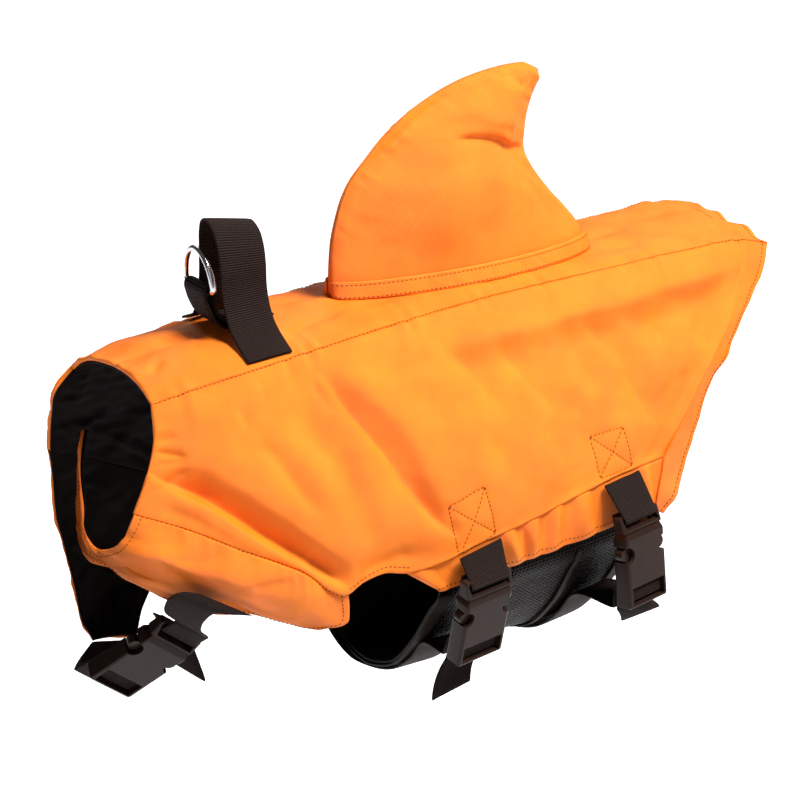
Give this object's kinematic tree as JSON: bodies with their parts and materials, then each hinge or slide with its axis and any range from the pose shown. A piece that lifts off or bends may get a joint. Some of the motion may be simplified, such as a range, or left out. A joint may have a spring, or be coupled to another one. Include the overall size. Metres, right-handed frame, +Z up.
{
  "type": "dog life jacket",
  "caption": "Padded life jacket for a dog, with a stiff back fin, a grab handle, a lead ring, and belly and chest straps with side-release buckles.",
  "frame": {"origin": "on the wearer's back, under the back panel's lining at its middle: the point where the jacket rests on the dog and is held", "axes": "+X along the back from the neck to the tail, +Y to the wearer's right, +Z up, out of the back"},
  "size_m": [0.447, 0.1985, 0.344],
  "materials": {
    "shell_cloth": "bright orange plain-woven polyester, satin",
    "lining_cloth": "black satin lining, soft sheen",
    "belly_mesh": "black knitted mesh",
    "binding_tape": "black woven binding tape",
    "webbing": "black ribbed webbing, matt",
    "buckle_plastic": "black moulded plastic, satin",
    "ring_metal": "bright plated steel wire"
  },
  "bodies": {
    "jacket": {"back_panel": "shell_cloth", "side_panel_left": "shell_cloth", "side_panel_right": "shell_cloth", "chest_flap_left": "shell_cloth", "chest_flap_right": "shell_cloth", "hem_strip_left": "shell_cloth", "hem_strip_right": "shell_cloth", "rear_flange_left": "shell_cloth", "rear_flange_right": "shell_cloth", "rear_flange_back": "shell_cloth", "fin_face_left": "shell_cloth", "fin_face_right": "shell_cloth", "fin_band_left": "shell_cloth", "fin_band_right": "shell_cloth", "back_lining": "lining_cloth", "side_lining_left": "lining_cloth", "side_lining_right": "lining_cloth", "chest_lining_left": "lining_cloth", "chest_lining_right": "lining_cloth", "belly_net": "belly_mesh", "belly_tape_front": "binding_tape", "belly_tape_rear": "binding_tape", "grab_handle": "webbing", "ring_loop": "webbing", "strap_front_upper": "webbing", "strap_front_lower": "webbing", "strap_rear_upper": "webbing", "strap_rear_lower": "webbing", "strap_chest_upper": "webbing", "strap_chest_lower": "webbing", "buckle_front_socket": "buckle_plastic", "buckle_front_plug": "buckle_plastic", "buckle_rear_socket": "buckle_plastic", "buckle_rear_plug": "buckle_plastic", "buckle_chest_socket": "buckle_plastic", "buckle_chest_plug": "buckle_plastic"},
    "ring": {"lead_ring": "ring_metal"}
  },
  "joints": [
    {"name": "ring_hinge", "type": "hinge", "parent": "jacket", "child": "ring", "pos_m": [-0.1387, -0.003, 0.0325], "axis": [0, -1, 0], "range_deg": [0, 110]}
  ]
}
